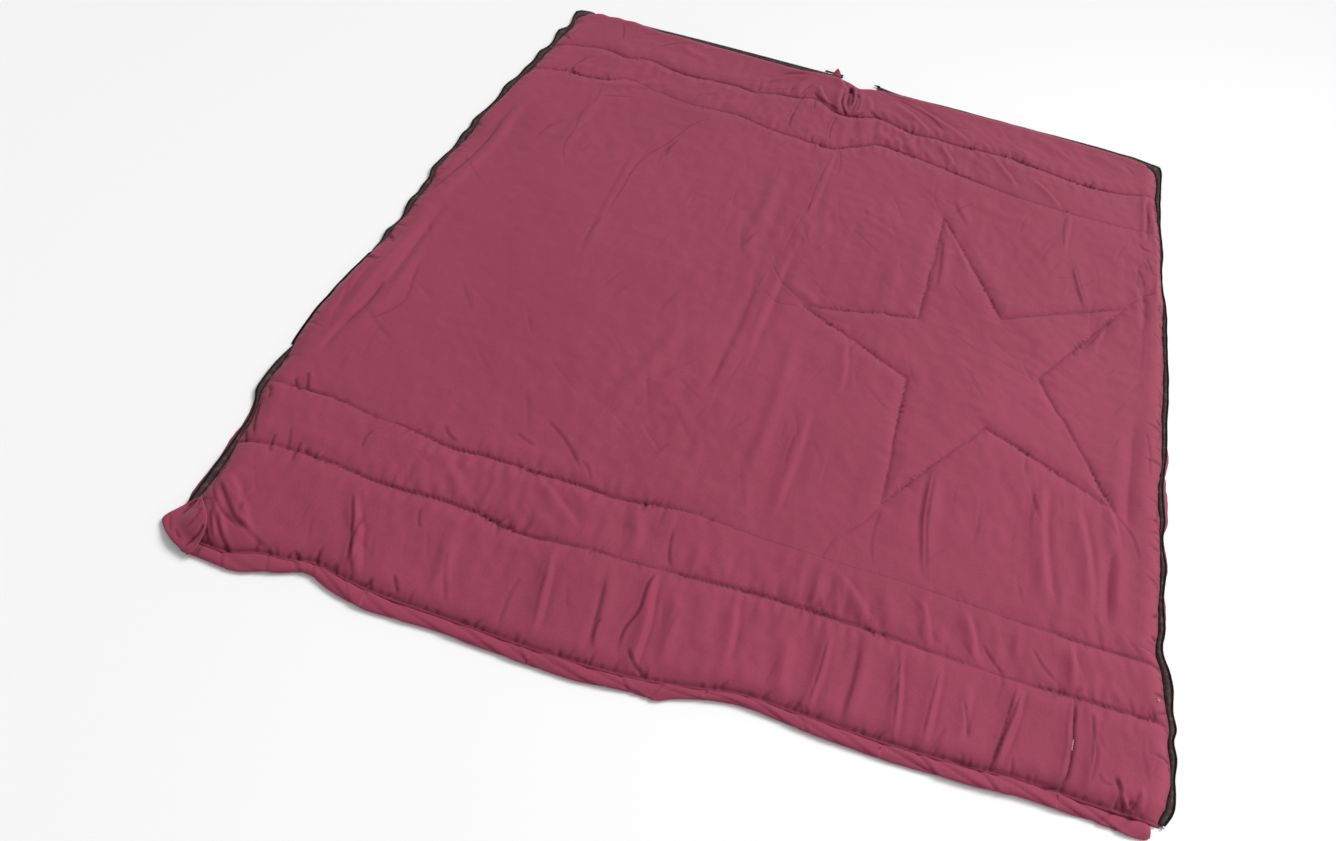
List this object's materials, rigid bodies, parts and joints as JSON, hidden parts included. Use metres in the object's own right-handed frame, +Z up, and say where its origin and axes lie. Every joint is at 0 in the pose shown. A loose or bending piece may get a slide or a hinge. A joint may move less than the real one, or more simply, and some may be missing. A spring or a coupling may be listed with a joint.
{
  "type": "sleeping bag opened as quilted camp blanket",
  "caption": "Lightly padded quilted sleeping bag, unzipped and opened flat as a blanket, with a stitched star, rolled head hem, wrap-round zip and corner flap.",
  "frame": {"origin": "centre of the footprint, on the floor that the blanket lies on", "axes": "+X across the blanket with the fold at X = 0 and the star on the +X half, +Y towards the foot end, +Z up from the floor"},
  "size_m": [1.425, 1.541, 0.0228],
  "materials": {
    "lining_fabric": "brushed microfibre, raspberry red, soft sheen",
    "shell_fabric": "plain-weave polyester, raspberry red",
    "wadding": "lofted hollow fibre, off-white",
    "hem_fabric": "rolled and topstitched microfibre",
    "thread": "spun polyester thread, tone on tone",
    "pale_thread": "spun polyester thread, off-white",
    "zip_tape": "woven twill tape, charcoal",
    "zip_coil": "nylon monofilament coil, near black",
    "zip_metal": "satin nickel plating",
    "slider_paint": "black lacquer on zinc, rubbed at the edges",
    "hook_and_loop": "nylon hook and loop tape, dark"
  },
  "bodies": {
    "right_half": {"lining_right": "lining_fabric", "wadding_right": "wadding", "shell_right": "shell_fabric", "head_hem_right": "hem_fabric", "top_stop_right": "zip_metal", "stitching_head_outer_right": "thread", "stitching_head_inner_right": "thread", "stitching_foot_inner_right": "thread", "stitching_foot_outer_right": "thread", "zip_tape_right": "zip_tape", "zip_coil_right": "zip_coil", "insertion_pin": "zip_metal", "star_stitching": "thread", "inner_pocket": "lining_fabric", "pocket_stitching": "thread", "pocket_bar_tack": "pale_thread"},
    "left_half": {"lining_left": "lining_fabric", "wadding_left": "wadding", "shell_left": "shell_fabric", "head_hem_left": "hem_fabric", "top_stop_left": "zip_metal", "stitching_head_outer_left": "thread", "stitching_head_inner_left": "thread", "stitching_foot_inner_left": "thread", "stitching_foot_outer_left": "thread", "zip_tape_left": "zip_tape", "zip_coil_left": "zip_coil", "retainer_box": "zip_metal", "zip_end_tab": "hem_fabric", "loop_patch": "hook_and_loop"},
    "slider": {"zip_slider": "slider_paint"},
    "puller": {"zip_puller": "zip_metal"},
    "flap": {"closure_flap": "lining_fabric", "hook_patch": "hook_and_loop"}
  },
  "joints": [
    {"name": "centre_fold", "type": "hinge", "parent": "right_half", "child": "left_half", "pos_m": [0, 0, 0.026], "axis": [0, 1, 0], "range_deg": [0, 179.5]},
    {"name": "zip_slide", "type": "slide", "parent": "left_half", "child": "slider", "axis": [-1, 0, 0], "range_m": [0, 0.42]},
    {"name": "puller_swing", "type": "hinge", "parent": "slider", "child": "puller", "pos_m": [-0.062, 0.76175, 0.00755], "axis": [0, 1, 0], "range_deg": [0, 180]},
    {"name": "flap_hinge", "type": "hinge", "parent": "left_half", "child": "flap", "pos_m": [-0.7125, -0.734, 0.0111], "axis": [0, -1, 0], "range_deg": [0, 170]}
  ]
}
